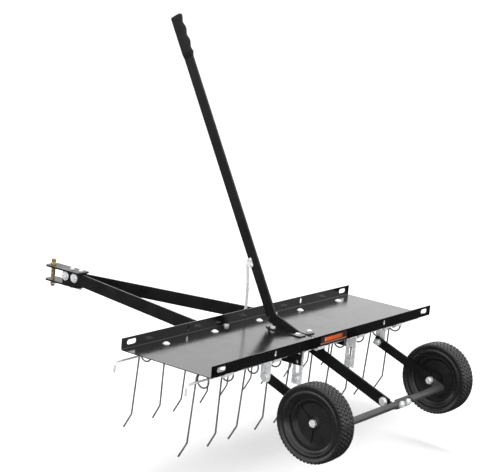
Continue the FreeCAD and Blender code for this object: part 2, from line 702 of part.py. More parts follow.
def side_bracket(side):
    """Zinc angle outside a side arm, with a rounded foot that carries the arm's pivot bolt."""
    inner = SIDE_ARM_X + ARM_THICK / 2 + SIDE_GAP
    outer = inner + BRACKET_SHEET
    half = FLANGE_HALF
    under = DECK_UNDER - BRACKET_SHEET
    plate = mirrored_box(side, inner, outer, PIVOT_Y - half, PIVOT_Y + half, PIVOT_Z, DECK_UNDER)
    low = min(side * inner, side * outer)
    plate = plate.fuse(rod(V(low, PIVOT_Y, PIVOT_Z), AXIS_X, half, BRACKET_SHEET))
    wire_way = loop_notch(side * inner, side * outer, LOOP_YS[1])
    wire_way = wire_way.cut(box(-400, 400, -400, 400, under, DECK_UNDER))
    plate = plate.cut(wire_way)
    flange_outer = SIDE_BOLT[0] + 12
    flange = mirrored_box(side, inner, flange_outer, PIVOT_Y - half, PIVOT_Y + half, under, DECK_UNDER)
    bracket = plate.fuse(flange).removeSplitter()
    bracket = bracket.cut(rod(V(side * inner - 8, PIVOT_Y, PIVOT_Z), AXIS_X, PIVOT_BOLT_R, 16))
    return bracket.cut(rod(V(side * SIDE_BOLT[0], SIDE_BOLT[1], under - 5), AXIS_Z, M8_RADIUS, 20))


def pivot_bolts():
    solids = []
    for side in (-1, 1):
        seat = side * (SIDE_ARM_X + ARM_THICK / 2 + SIDE_GAP + BRACKET_SHEET)
        grip = ARM_THICK + BRACKET_SHEET + 2 * SIDE_GAP
        solids.append(bolt(V(seat, PIVOT_Y, PIVOT_Z), AXIS_X * -side, grip, PIVOT_BOLT_R, 17))
    return solids


def ear(x, bolt_place):
    """Welded lug that joins the crossbar to the end bolt of an arm."""
    thick = 4.0
    half = 11.0
    across = AXIS_X.cross(ARM_DIR)
    far = CROSSBAR + ARM_DIR * 2
    narrow = half * 0.8
    corners = [bolt_place - across * half, far - across * narrow]
    corners += [far + across * narrow, bolt_place + across * half]
    plate = prism([point + V(x, 0, 0) for point in corners], AXIS_X * thick)
    return plate.fuse(rod(bolt_place + V(x, 0, 0), AXIS_X, half, thick))


def tongue(x0, x1, y0, y1):
    return box(x0, x1, y0, y1, CROSSBAR.z - TONGUE_HALF, CROSSBAR.z + TONGUE_HALF)


def flared(x_round, x_flat, y0, y1):
    """Transition of the round tube into its flattened tongue."""
    round_end = Part.Wire([Part.makeCircle(CROSSBAR_R, V(x_round, CROSSBAR.y, CROSSBAR.z), AXIS_X)])
    low = CROSSBAR.z - TONGUE_HALF
    high = CROSSBAR.z + TONGUE_HALF
    corners = [V(x_flat, y0, low), V(x_flat, y1, low), V(x_flat, y1, high), V(x_flat, y0, high)]
    flat = Part.makePolygon(corners + [corners[0]])
    return Part.makeLoft([round_end, flat], True)


def crossbar_bolt_xs():
    return (CROSSBAR_JOINT_X - 15.5, CROSSBAR_JOINT_X + 15.5)


def drill_tongue(bar):
    for x in crossbar_bolt_xs():
        bar = bar.cut(rod(V(x, CROSSBAR.y - 20, CROSSBAR.z), AXIS_Y, PIVOT_BOLT_R, 40))
    return bar


def crossbar_left():
    """The longer half of the crossbar, with lugs for the left side arm and the centre arm."""
    tongue_start = CROSSBAR_JOINT_X - CROSSBAR_TONGUE / 2
    tongue_end = CROSSBAR_JOINT_X + CROSSBAR_TONGUE / 2
    round_end = tongue_start - CROSSBAR_FLARE
    end_x = -(SIDE_ARM_X - ARM_THICK / 2)
    tube = rod(V(end_x, CROSSBAR.y, CROSSBAR.z), AXIS_X, CROSSBAR_R, round_end - end_x)
    bar = tube.fuse(flared(round_end, tongue_start, CROSSBAR.y - 5, CROSSBAR.y))
    bar = bar.fuse(tongue(tongue_start, tongue_end, CROSSBAR.y - 5, CROSSBAR.y))
    bar = bar.fuse(ear(end_x, AXLE)).fuse(ear(ARM_THICK / 2, CENTRE_END))
    bar = bar.cut(rod(V(end_x - 5, AXLE.y, AXLE.z), AXIS_X, AXLE_R, 15))
    bar = cross_hole(bar, ARM_THICK / 2, CENTRE_END, PIVOT_BOLT_R)
    return drill_tongue(bar)


def crossbar_right():
    tongue_start = CROSSBAR_JOINT_X + CROSSBAR_TONGUE / 2
    tongue_end = CROSSBAR_JOINT_X - CROSSBAR_TONGUE / 2
    round_end = tongue_start + CROSSBAR_FLARE
    end_x = SIDE_ARM_X - ARM_THICK / 2
    tube = rod(V(round_end, CROSSBAR.y, CROSSBAR.z), AXIS_X, CROSSBAR_R, end_x - round_end)
    bar = tube.fuse(flared(round_end, tongue_start, CROSSBAR.y, CROSSBAR.y + 5))
    bar = bar.fuse(tongue(tongue_end, tongue_start, CROSSBAR.y, CROSSBAR.y + 5))
    bar = bar.fuse(ear(end_x - 4, AXLE))
    bar = bar.cut(rod(V(end_x - 10, AXLE.y, AXLE.z), AXIS_X, AXLE_R, 15))
    return drill_tongue(bar)


def crossbar_bolts():
    """Two bolts through the lapped tongues and one through the centre arm's end."""
    solids = []
    for x in crossbar_bolt_xs():
        seat = V(x, CROSSBAR.y + 5, CROSSBAR.z)
        solids.append(bolt(seat, AXIS_Y * -1, 10, PIVOT_BOLT_R, 17))
    arm_seat = V(-ARM_THICK / 2, CENTRE_END.y, CENTRE_END.z)
    solids.append(bolt(arm_seat, AXIS_X, ARM_THICK + 4, PIVOT_BOLT_R, 17, 12.0))
    return solids


# ---------------------------------------------------------------- wheels
def axle_bolts():
    """Shoulder bolts: head outside the wheel, shank through hub, arm and crossbar lug, nut inside."""
    solids = []
    for side in (-1, 1):
        outer = WHEEL_X + HUB_OUTER + SIDE_GAP
        inner = SIDE_ARM_X - ARM_THICK / 2 - 4
        seat = V(side * outer, AXLE.y, AXLE.z)
        solids.append(bolt(seat, AXIS_X * -side, outer - inner, AXLE_R, 17))
    return solids


def wheel_hub(side):
    """Moulded disc wheel: long inner barrel, thin web with three ribs on each face, flanged rim."""
    half_rim = RIM_WIDTH / 2
    web = 3.0
    barrel = 15.0
    flange = HUB_R + 4
    dish = HUB_R - 11
    bore = AXLE_R + RUNNING_FIT
    section = [
        (-HUB_INNER, bore), (HUB_OUTER, bore), (HUB_OUTER, barrel), (web, barrel + 2), (web, dish),
        (half_rim, HUB_R - 2), (half_rim, flange), (half_rim - 3, flange), (half_rim - 5, HUB_R),
        (5 - half_rim, HUB_R), (3 - half_rim, flange), (-half_rim, flange), (-half_rim, HUB_R - 2),
        (-web, dish), (-web, barrel + 2), (-HUB_INNER, barrel)]
    centre = V(side * WHEEL_X, AXLE.y, AXLE.z)
    hub = turned([(side * axial, radial) for axial, radial in section], centre, AXIS_X)
    rib_foot = centre.z + barrel - 2
    rib_top = centre.z + HUB_R - 6
    for index in range(3):
        rib = box(centre.x - 7, centre.x + 7, centre.y - 1.5, centre.y + 1.5, rib_foot, rib_top)
        rib.rotate(centre, AXIS_X, 120 * index + RIB_TURN)
        hub = hub.fuse(rib)
    return hub.removeSplitter()


def tyre(side):
    """Semi-pneumatic tyre: flat crowned tread, square shoulders, and sidewalls that dip to the rim."""
    half = TYRE_WIDTH / 2
    shoulder = TYRE_SHOULDER
    ease = shoulder * (1 - math.sqrt(0.5))
    tread_edge = WHEEL_R - TYRE_CROWN
    half_rim = RIM_WIDTH / 2
    bead = HUB_R + 4
    centre = V(side * WHEEL_X, AXLE.y, AXLE.z)

    def at(axial, radial):
        return centre + V(axial, 0, radial)

    tread_start = at(shoulder - half, tread_edge)
    tread_end = at(half - shoulder, tread_edge)
    edges = [Part.Arc(tread_start, at(0, WHEEL_R), tread_end).toShape()]
    for hand in (-1, 1):
        top = at(hand * (half - shoulder), tread_edge)
        round_middle = at(hand * (half - ease), tread_edge - ease)
        wall_top = at(hand * half, tread_edge - shoulder)
        wall_foot = at(hand * half, tread_edge - shoulder - 12)
        dip = at(hand * (half - 7), bead + 5)
        rim = at(hand * half_rim, bead)
        groove = at(hand * (half_rim - 3), bead)
        seat = at(hand * (half_rim - 5), HUB_R)
        edges.append(Part.Arc(top, round_middle, wall_top).toShape())
        edges.append(Part.LineSegment(wall_top, wall_foot).toShape())
        edges.append(Part.Arc(wall_foot, dip, rim).toShape())
        edges.append(Part.LineSegment(rim, groove).toShape())
        edges.append(Part.LineSegment(groove, seat).toShape())
    edges.append(Part.LineSegment(at(5 - half_rim, HUB_R), at(half_rim - 5, HUB_R)).toShape())
    face = Part.Face(Part.Wire(Part.__sortEdges__(edges)))
    return face.revolve(centre, AXIS_X, 360)


# ---------------------------------------------------------------- fasteners on the deck
def deck_bolts():
    """Hex bolts of the wear plate and of the brackets below the deck."""
    solids = []
    for x, y in PLATE_BOLTS:
        seat = V(x, y, TRAY_TOP + BRACKET_SHEET)
        solids.append(bolt(seat, AXIS_Z * -1, BRACKET_SHEET + SHEET, 4.0, 13))
    for x, y in bracket_bolt_places():
        seat = V(x, y, TRAY_TOP)
        solids.append(bolt(seat, AXIS_Z * -1, SHEET + BRACKET_SHEET, 4.0, 13))
    return solids


def tine_bolts():
    grip = TRAY_TOP - (COIL_Z + COIL_RADIUS - WIRE / 2 - BRACKET_SHEET)
    return [carriage_bolt(V(x, y, TRAY_TOP), grip, 4.0, 10.0, 5.0) for x, y in tine_bolt_places()]


def build():
    save("deck_tray", tray())
    save("slot_plate", slot_plate())
    save("deck_bolts", deck_bolts())
    save("tine_bolts", tine_bolts())
    save("tine_clamps", [tine_clamp(x, y) for x, y in tine_bolt_places()])
    save("front_retaining_rod", tine_rod(FRONT_COIL_Y, rod_end_x()))
    save("rear_retaining_rod_left", tine_rod(REAR_COIL_Y, REAR_ROD_GAP[0]))
    right_start = V(REAR_ROD_GAP[1], REAR_COIL_Y, COIL_Z)
    right_length = rod_end_x() - right_start.x
    save("rear_retaining_rod_right", rod(right_start, AXIS_X, ROD_RADIUS, right_length))
    rows = (("front", FRONT_ROW_X, FRONT_COIL_Y), ("rear", REAR_ROW_X, REAR_COIL_Y))
    for row, row_x, coil_y in rows:
        save(row + "_tine_coils", [tine_spring(x, coil_y) for x in unit_centres(row_x)])
        number = 0
        for x in unit_centres(row_x):
            for side in (-1, 1):
                number += 1
                save(row + "_tine_" + str(number), tine_leg(x, coil_y, side))

    for side, word in ((-1, "left"), (1, "right")):
        save("drawbar_" + word, drawbar(side))
        save("drawbar_foot_" + word, drawbar_foot(side))
        save("slotted_hanger_" + word, slotted_hanger(side))
        save("side_bracket_" + word, side_bracket(side))
        save("side_arm_" + word, side_arm(side))
        save("wheel_hub_" + word, wheel_hub(side))
        save("tyre_" + word, tyre(side))
    save("drawbar_bolts", drawbar_bolts())
    save("hitch_plate_upper", hitch_plate(BAR_TOP))
    save("hitch_plate_lower", hitch_plate(BAR_BOTTOM - HITCH_PLATE))
    save("hitch_bolts", hitch_bolts())
    save("hitch_pin", hitch_pin())
    save("hairpin_clip", hairpin())

    save("arm_pivot_bolts", pivot_bolts())
    save("centre_arm", centre_arm())
    save("lift_handle", drilled_handle())
    save("handle_grip", handle_grip())
    save("latch_strip", latch_strip())
    save("latch_bolts", latch_bolts())
    save("crossbar_left", crossbar_left())
    save("crossbar_right", crossbar_right())
    save("crossbar_bolts", crossbar_bolts())
    save("axle_bolts", axle_bolts())


build()
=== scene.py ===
import json
import math
import bpy
from mathutils import Matrix, Vector


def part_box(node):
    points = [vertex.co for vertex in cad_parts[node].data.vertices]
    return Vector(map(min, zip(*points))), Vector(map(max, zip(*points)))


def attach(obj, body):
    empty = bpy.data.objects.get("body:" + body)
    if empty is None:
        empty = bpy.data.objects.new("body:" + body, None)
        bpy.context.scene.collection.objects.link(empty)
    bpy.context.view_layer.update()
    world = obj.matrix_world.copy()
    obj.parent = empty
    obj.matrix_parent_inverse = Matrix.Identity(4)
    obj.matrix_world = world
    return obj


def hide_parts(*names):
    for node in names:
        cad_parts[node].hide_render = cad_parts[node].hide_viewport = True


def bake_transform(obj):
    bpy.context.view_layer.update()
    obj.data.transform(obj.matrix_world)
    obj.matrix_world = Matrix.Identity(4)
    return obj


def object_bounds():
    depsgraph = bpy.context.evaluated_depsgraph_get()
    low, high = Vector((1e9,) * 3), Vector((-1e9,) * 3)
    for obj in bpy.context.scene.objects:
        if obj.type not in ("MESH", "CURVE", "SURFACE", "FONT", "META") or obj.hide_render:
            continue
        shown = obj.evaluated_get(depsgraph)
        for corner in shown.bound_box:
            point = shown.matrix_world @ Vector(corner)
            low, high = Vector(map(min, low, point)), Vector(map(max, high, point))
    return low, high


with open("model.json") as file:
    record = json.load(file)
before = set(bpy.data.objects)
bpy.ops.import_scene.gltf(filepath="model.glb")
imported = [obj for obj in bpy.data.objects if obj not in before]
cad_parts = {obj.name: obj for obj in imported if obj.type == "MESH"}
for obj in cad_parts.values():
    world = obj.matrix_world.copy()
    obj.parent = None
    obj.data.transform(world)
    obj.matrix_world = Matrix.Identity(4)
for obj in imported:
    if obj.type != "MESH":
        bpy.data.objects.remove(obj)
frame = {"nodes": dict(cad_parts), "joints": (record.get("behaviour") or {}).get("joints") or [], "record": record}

# Tow-behind lawn dethatcher. Metres, in the frame of the CAD: +Y forward to the hitch, +Z up.
CAD_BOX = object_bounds()

# ---- places read from the frame ----
TRAY_LOW, TRAY_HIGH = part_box("deck_tray")
TRAY_SHEET = 0.002
DECK = Vector(((TRAY_LOW.x + TRAY_HIGH.x) / 2, (TRAY_LOW.y + TRAY_HIGH.y) / 2, TRAY_LOW.z + TRAY_SHEET))
JOINTS = {joint["name"]: joint for joint in frame["joints"]}

# ---- sizes of the detailed pieces ----
WIRE_R = 0.0023
COIL_R = 0.0182
COIL_PITCH = 0.0048
COIL_TURNS = 1
COIL_SPREAD = 0.050
LOOP_SETBACK = 0.036
LOOP_CORNER = 0.007
LEG_LEAN = math.radians(3.0)
LEG_SPLAY = math.radians(1.7)
TIP_BEND = math.radians(26.0)
TIP_LENGTH = 0.046
KNEE_R = 0.014
BEND_STEPS = 6
COIL_STEPS = 72

HANDLE_ANGLE = math.radians(61.35)
GRIP_HALF = 0.0175
GRIP_LENGTH = 0.124
GRIP_WAVE = 0.0375
GRIP_WAVE_HEIGHT = 0.0048
GRIP_PHASE = 0.0125
GRIP_CUFF = 0.012
GRIP_CROWN = 0.005
GRIP_CUFF_STEP = 0.0016
GRIP_RINGS = 96
GRIP_AROUND = 32

TYRE_CLEARANCE = 0.0003
TYRE_SHOULDER = 0.005
TYRE_CAMBER = 0.0008
TYRE_ACROSS = 36
RIM_HALF = 0.013
TREAD_DEPTH = 0.0030
TREAD_PITCHES = 56
TREAD_RIBS = 6
POINTS_PER_PITCH = 10

LABEL_LEFT, LABEL_RIGHT = -0.058, 0.064
LABEL_LOW, LABEL_HIGH = 0.001, 0.0245
LABEL_BACK, LABEL_FACE = 0.0001, 0.0003
LABEL_CORNER = 0.0025

# ---- staging ----
FLOOR_SIZE = 400
FLOOR_GAP = 0.0005
SWING_STEPS = 16
SKY = ((0.0, 0.03), (0.4, 0.06), (0.49, 0.35), (0.505, 2.1), (0.7, 1.5), (1.0, 0.9))
VIEW_FROM_DECK = Vector((-2.8784, -1.9680, 0.925))
VIEW_AZIMUTH = math.radians(-53.13)
VIEW_ELEVATION = math.radians(11.02)
VIEW_ROLL = math.radians(5.0)
VIEW_SENSOR = 36.0
VIEW_LENS = 100.22


# ---------------------------------------------------------------- materials
def new_material(name):
    material = bpy.data.materials.new(name)
    material.use_nodes = True
    shader = material.node_tree.nodes["Principled BSDF"]
    return material, material.node_tree, shader


def object_coordinates(tree, scale=(1, 1, 1)):
    place = tree.nodes.new("ShaderNodeTexCoord")
    mapping = tree.nodes.new("ShaderNodeMapping")
    mapping.inputs["Scale"].default_value = scale
    tree.links.new(place.outputs["Object"], mapping.inputs["Vector"])
    return mapping.outputs["Vector"]


def noise(tree, vector, scale, detail=3.0, rough=0.5):
    node = tree.nodes.new("ShaderNodeTexNoise")
    node.inputs["Scale"].default_value = scale
    node.inputs["Detail"].default_value = detail
    node.inputs["Roughness"].default_value = rough
    tree.links.new(vector, node.inputs["Vector"])
    return node.outputs["Fac"]


def ramp(tree, value, stops):
    """Colour ramp through (position, grey or colour) stops."""
    node = tree.nodes.new("ShaderNodeValToRGB")
    points = node.color_ramp.elements
    while len(points) < len(stops):
        points.new(0.5)
    for point, (position, colour) in zip(points, stops):
        point.position = position
        if not isinstance(colour, tuple):
            colour = (colour, colour, colour)
        point.color = (*colour, 1)
    tree.links.new(value, node.inputs["Fac"])
    return node.outputs["Color"]


def spread(tree, value, low, high):
    """Map a 0.3 to 0.7 noise value onto low to high."""
    node = tree.nodes.new("ShaderNodeMapRange")
    node.inputs["From Min"].default_value = 0.3
    node.inputs["From Max"].default_value = 0.7
    node.inputs["To Min"].default_value = low
    node.inputs["To Max"].default_value = high
    tree.links.new(value, node.inputs["Value"])
    return node.outputs["Result"]


def tint(tree, shader, value, stops):
    """Colour the surface by a ramp of value."""
    tree.links.new(ramp(tree, value, stops), shader.inputs["Base Color"])


def roughen(tree, shader, value, low, high):
    """Vary the surface's roughness from low to high with a noise value."""
    tree.links.new(spread(tree, value, low, high), shader.inputs["Roughness"])


def add_bump(tree, shader, height, strength, distance):
    node = tree.nodes.new("ShaderNodeBump")
    node.inputs["Strength"].default_value = strength
    node.inputs["Distance"].default_value = distance
    tree.links.new(height, node.inputs["Height"])
    tree.links.new(node.outputs["Normal"], shader.inputs["Normal"])


def enamel(name, dark, light, rough_low, rough_high, peel, gloss, coat):
    """Baked powder coat: faint orange peel, slow changes of gloss, and a little dust."""
    material, tree, shader = new_material(name)
    where = object_coordinates(tree)
    cloud = noise(tree, where, 9.0, 5.0, 0.6)
    tint(tree, shader, cloud, ((0.35, dark), (0.75, light)))
    haze = noise(tree, where, 28.0, 4.0, 0.55)
    roughen(tree, shader, haze, rough_low, rough_high)
    add_bump(tree, shader, noise(tree, where, 420.0, 2.0), peel, 0.0004)
    shader.inputs["Specular IOR Level"].default_value = gloss
    shader.inputs["Coat Weight"].default_value = coat
    shader.inputs["Coat Roughness"].default_value = 0.12
    return material


def plated(name, pale, shade, rough_low, rough_high, metal):
    """Zinc plated steel: soft crystalline patches and fine brushing."""
    material, tree, shader = new_material(name)
    where = object_coordinates(tree)
    patches = tree.nodes.new("ShaderNodeTexVoronoi")
    patches.inputs["Scale"].default_value = 160.0
    tree.links.new(where, patches.inputs["Vector"])
    tint(tree, shader, patches.outputs["Distance"], ((0.1, pale), (0.8, shade)))
    cloud = noise(tree, where, 60.0, 4.0, 0.6)
    roughen(tree, shader, cloud, rough_low, rough_high)
    brushed = noise(tree, object_coordinates(tree, (900, 900, 60)), 1.0, 2.0)
    add_bump(tree, shader, brushed, 0.12, 0.0003)
    shader.inputs["Metallic"].default_value = metal
    return material


def spring_wire():
    """Drawn spring wire under a thin grey plating, with fine marks along it."""
    material, tree, shader = new_material("spring_wire")
    where = object_coordinates(tree)
    cloud = noise(tree, where, 45.0, 5.0, 0.65)
    tint(tree, shader, cloud, ((0.3, (0.12, 0.12, 0.125)), (0.7, (0.24, 0.24, 0.25))))
    roughen(tree, shader, noise(tree, where, 120.0), 0.32, 0.5)
    add_bump(tree, shader, noise(tree, where, 700.0, 2.0), 0.15, 0.0003)
    shader.inputs["Metallic"].default_value = 0.6
    return material


def rubber(name, dark, light, rough, grain, gloss):
    """Rubber, vinyl or moulded plastic: cloudy black with a fine grain."""
    material, tree, shader = new_material(name)
    where = object_coordinates(tree)
    cloud = noise(tree, where, 22.0, 6.0, 0.65)
    tint(tree, shader, cloud, ((0.3, dark), (0.72, light)))
    roughen(tree, shader, noise(tree, where, 90.0), rough - 0.06, rough + 0.06)
    add_bump(tree, shader, noise(tree, where, grain, 3.0), 0.25, 0.0004)
    shader.inputs["Specular IOR Level"].default_value = gloss
    return material


def brass():
    material, tree, shader = new_material("pin_brass")
    where = object_coordinates(tree)
    cloud = noise(tree, where, 70.0, 4.0)
    tint(tree, shader, cloud, ((0.3, (0.62, 0.47, 0.22)), (0.7, (0.82, 0.68, 0.4))))
    roughen(tree, shader, noise(tree, where, 200.0), 0.2, 0.36)
    shader.inputs["Metallic"].default_value = 1.0
    return material


def printed_label(low, high):
    """Plain sticker: an orange block with a pale end, and a thin pale rule under it, on dark brown."""
    material, tree, shader = new_material("label_print")
    place = tree.nodes.new("ShaderNodeTexCoord")
    split = tree.nodes.new("ShaderNodeSeparateXYZ")
    tree.links.new(place.outputs["Object"], split.inputs[0])

    def share(axis, start, end):
        node = tree.nodes.new("ShaderNodeMapRange")
        node.inputs["From Min"].default_value = start
        node.inputs["From Max"].default_value = end
        tree.links.new(split.outputs[axis], node.inputs["Value"])
        return node.outputs["Result"]

    across = share("X", low.x, high.x)
    height = share("Z", low.z, high.z)
    ground = (0.022, 0.012, 0.01)
    orange = (0.62, 0.09, 0.015)
    pale = (0.5, 0.3, 0.22)
    faded = (0.4, 0.06, 0.015)
    bar_stops = ((0.14, ground), (0.16, pale), (0.2, orange), (0.78, faded), (0.86, ground))
    bar = ramp(tree, across, bar_stops)
    rows = ramp(tree, height, ((0.1, 0.0), (0.38, 0.0), (0.42, 1.0), (0.82, 1.0), (0.86, 0.0)))
    rule = ramp(tree, height, ((0.14, 0.0), (0.18, 1.0), (0.26, 1.0), (0.3, 0.0)))
    first = tree.nodes.new("ShaderNodeMix")
    first.data_type = "RGBA"
    first.inputs["A"].default_value = (*ground, 1)
    tree.links.new(rows, first.inputs["Factor"])
    tree.links.new(bar, first.inputs["B"])
    second = tree.nodes.new("ShaderNodeMix")
    second.data_type = "RGBA"
    second.inputs["B"].default_value = (0.3, 0.13, 0.08, 1)
    tree.links.new(rule, second.inputs["Factor"])
    tree.links.new(first.outputs["Result"], second.inputs["A"])
    tree.links.new(second.outputs["Result"], shader.inputs["Base Color"])
    roughen(tree, shader, noise(tree, place.outputs["Object"], 60.0), 0.28, 0.4)
    return material


def pale_floor():
    material, tree, shader = new_material("studio_floor")
    where = object_coordinates(tree)
    cloud = noise(tree, where, 0.8, 2.0)
    tint(tree, shader, cloud, ((0.3, 0.86), (0.7, 0.9)))
    shader.inputs["Roughness"].default_value = 0.9
    return material


MATERIALS = {
    "deck_enamel": enamel("deck_enamel", 0.002, 0.005, 0.13, 0.2, 0.04, 0.5, 0.0),
    "black_enamel": enamel("black_enamel", 0.003, 0.008, 0.3, 0.42, 0.1, 0.28, 0.0),
    "tube_enamel": enamel("tube_enamel", 0.03, 0.05, 0.34, 0.48, 0.1, 0.5, 0.0),
    "zinc_plate": plated("zinc_plate", (0.92, 0.925, 0.93), (0.68, 0.69, 0.71), 0.22, 0.36, 0.3),
    "zinc_hardware": plated("zinc_hardware", (0.9, 0.905, 0.91), (0.75, 0.76, 0.78), 0.14, 0.26, 0.5),
    "spring_steel": spring_wire(),
    "tyre_rubber": rubber("tyre_rubber", 0.006, 0.014, 0.3, 900.0, 0.5),
    "hub_plastic": rubber("hub_plastic", 0.006, 0.012, 0.4, 1400.0, 0.4),
    "grip_vinyl": rubber("grip_vinyl", 0.005, 0.011, 0.45, 1100.0, 0.2),
    "pin_brass": brass(),
}


def dress_cad_nodes():
    """Give every CAD node the material of its slot in the record, except the crossbar tubes (not their bolts),
    which get the tube enamel.
    """
    slots = {part["node"]: part["material_slot"] for part in frame["record"]["subparts"]}
    for name, node in frame["nodes"].items():
        finish = "tube_enamel" if name.startswith("crossbar_") and "bolts" not in name else slots[name]
        node.data.materials.clear()
        node.data.materials.append(MATERIALS[finish])


# ---------------------------------------------------------------- mesh helpers
def make_piece(name, points, faces, slot, body, smooth=True, material=None):
    """A mesh object in a material slot that rides a body, or is left unattached if body is None."""
    mesh = bpy.data.meshes.new(name)
    mesh.from_pydata([tuple(point) for point in points], [], faces)
    mesh.update()
    piece = bpy.data.objects.new(name, mesh)
    bpy.context.collection.objects.link(piece)
    mesh.materials.append(material or MATERIALS[slot])
    if smooth:
        mesh.polygons.foreach_set("use_smooth", [True] * len(mesh.polygons))
    if body:
        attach(piece, body)
    return piece


def tube(path, radius, sides):
    """Points and faces of a round tube along a path, with closed ends."""
    count = len(path)
    points = []
    tangent = (path[1] - path[0]).normalized()
    side = tangent.orthogonal().normalized()
    for index, place in enumerate(path):
        if index == 0:
            ahead = path[1] - path[0]
        elif index == count - 1:
            ahead = path[-1] - path[-2]
        else:
            ahead = path[index + 1] - path[index - 1]
        ahead.normalize()
        side = (side - ahead * side.dot(ahead)).normalized()
        up = ahead.cross(side)
        for step in range(sides):
            turn = 2 * math.pi * step / sides
            points.append(place + (side * math.cos(turn) + up * math.sin(turn)) * radius)
    faces = []
    for index in range(count - 1):
        for step in range(sides):
            a = index * sides + step
            b = index * sides + (step + 1) % sides
            faces.append((a, b, b + sides, a + sides))
    faces.append(tuple(reversed(range(sides))))
    faces.append(tuple(range((count - 1) * sides, count * sides)))
    return points, faces


# ---------------------------------------------------------------- spring tines
def tine_path(hinge, side):
    """One half of a double tine: from the middle of the clamped loop, round the coil and down the leg."""
    x_axis = Vector((1, 0, 0))
    start_angle = math.pi / 2
    end_angle = LEG_LEAN - 2 * math.pi * COIL_TURNS
    turns = start_angle - end_angle
    drift = COIL_PITCH * turns / (2 * math.pi)
    tail_x = hinge.x - side * drift
    loop_x = hinge.x - side * COIL_SPREAD
    top = hinge.z + COIL_R
    rear = hinge.y - LOOP_SETBACK
    path = [Vector((loop_x, rear, top)), Vector(((loop_x * 2 + tail_x) / 3, rear, top))]
    corner = Vector((tail_x - side * LOOP_CORNER, rear + LOOP_CORNER, top))
    for step in range(BEND_STEPS + 1):
        turn = math.pi / 2 * step / BEND_STEPS
        path.append(corner + Vector((side * math.sin(turn), -math.cos(turn), 0)) * LOOP_CORNER)
    for step in range(COIL_STEPS + 1):
        turn = start_angle - turns * step / COIL_STEPS
        x = tail_x + side * drift * step / COIL_STEPS
        path.append(Vector((x, hinge.y + COIL_R * math.cos(turn), hinge.z + COIL_R * math.sin(turn))))

    splay = Matrix.Rotation(-side * LEG_SPLAY, 3, "Y")
    down = Vector((0, math.sin(LEG_LEAN), -math.cos(LEG_LEAN)))
    tip_angle = LEG_LEAN + TIP_BEND
    tip_dir = Vector((0, math.sin(tip_angle), -math.cos(tip_angle)))
    front = Vector((0, COIL_R * math.cos(LEG_LEAN), COIL_R * math.sin(LEG_LEAN)))
    fall = hinge.z + front.z - TIP_LENGTH * math.cos(tip_angle) - WIRE_R * math.sin(tip_angle)
    knee = front + down * (fall / math.cos(LEG_LEAN))
    trim = KNEE_R * math.tan(TIP_BEND / 2)
    before = knee - down * trim
    hollow = before + Vector((0, math.cos(LEG_LEAN), math.sin(LEG_LEAN))) * KNEE_R
    leg = [front + (before - front) * share for share in (0.25, 0.5, 0.75, 0.97)]
    for step in range(BEND_STEPS + 1):
        leg.append(hollow + Matrix.Rotation(TIP_BEND * step / BEND_STEPS, 3, x_axis) @ (before - hollow))
    leg.append(knee + tip_dir * (TIP_LENGTH * 0.6))
    leg.append(knee + tip_dir * TIP_LENGTH)
    return path + [hinge + splay @ point for point in leg]


def spring_tines():
    """Twenty continuous wires, from the clamped loops round the coils and down the legs, in place of the CAD
    tines.
    """
    done = set()
    for row in ("front", "rear"):
        for number in range(1, 11):
            node = row + "_tine_" + str(number)
            side = -1 if number % 2 else 1
            hinge = Vector(JOINTS[node + "_flex"]["pos_m"])
            points, faces = tube(tine_path(hinge, side), WIRE_R, 12)
            piece = make_piece(row + "_spring_" + str(number), points, faces, "spring_steel", None)
            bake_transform(piece)
            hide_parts(node)
            if row not in done:
                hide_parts(row + "_tine_coils")
                done.add(row)


# ---------------------------------------------------------------- tyres
def tyre_section(half, crown, bead):
    """(axial, radial, tread share) points across the tyre, from one bead to the other."""
    shoulder = TYRE_SHOULDER
    edge = crown - TYRE_CAMBER
    points = []
    wall = [
        (RIM_HALF - 0.003, bead - 0.003), (RIM_HALF - 0.001, bead + 0.0005),
        (RIM_HALF + 0.001, bead + 0.0014), (RIM_HALF + 0.003, bead + 0.0008),
        (RIM_HALF + 0.0036, bead + 0.002), (half - 0.0085, bead + 0.004),
        (half - 0.0078, bead + 0.006), (half - 0.0062, bead + 0.0078), (half - 0.0034, bead + 0.0095),
        (half - 0.0014, bead + 0.0115), (half - 0.0008, bead + 0.0135), (half - 0.0012, bead + 0.0165),
        (half - 0.0024, bead + 0.0185), (half - 0.0024, bead + 0.0205), (half - 0.0006, bead + 0.0215),
        (half - 0.0002, edge - shoulder - 0.001)]
    for axial, radial in wall:
        points.append((-axial, radial, 0.0))
    for step in range(BEND_STEPS + 1):
        turn = math.pi / 2 * step / BEND_STEPS
        axial = half - shoulder + shoulder * math.cos(turn)
        radial = edge - shoulder + shoulder * math.sin(turn)
        points.append((-axial, radial, min(1.0, step / 2)))
    for step in range(1, TYRE_ACROSS // 2 + 1):
        axial = (half - shoulder) * (1 - 2 * step / TYRE_ACROSS)
        radial = crown - TYRE_CAMBER * (axial / (half - shoulder)) ** 2
        points.append((-axial, radial, 1.0))
    mirrored = [(-axial, radial, share) for axial, radial, share in points[-2::-1]]
    return points + mirrored


def tread(axial, turn, half):
    """1 on a tread block and 0 in a groove: staggered slanted blocks in ribs."""
    position = (axial / half + 1) / 2 * TREAD_RIBS
    rib = min(TREAD_RIBS - 1, max(0, int(position)))
    within = position - rib
    groove = min(within, 1 - within)
    slant = (within - 0.5) * (0.5 if rib % 2 else -0.5)
    phase = (turn / (2 * math.pi) * TREAD_PITCHES + rib * 0.5 + slant) % 1
    gap = min(phase, 1 - phase)
    lengthwise = min(1.0, max(0.0, (gap - 0.1) / 0.05))
    sideways = min(1.0, max(0.0, (groove - 0.07) / 0.07))
    if rib in (0, TREAD_RIBS - 1) and abs(axial) > half * 0.8:
        sideways = 1.0
    return lengthwise * sideways


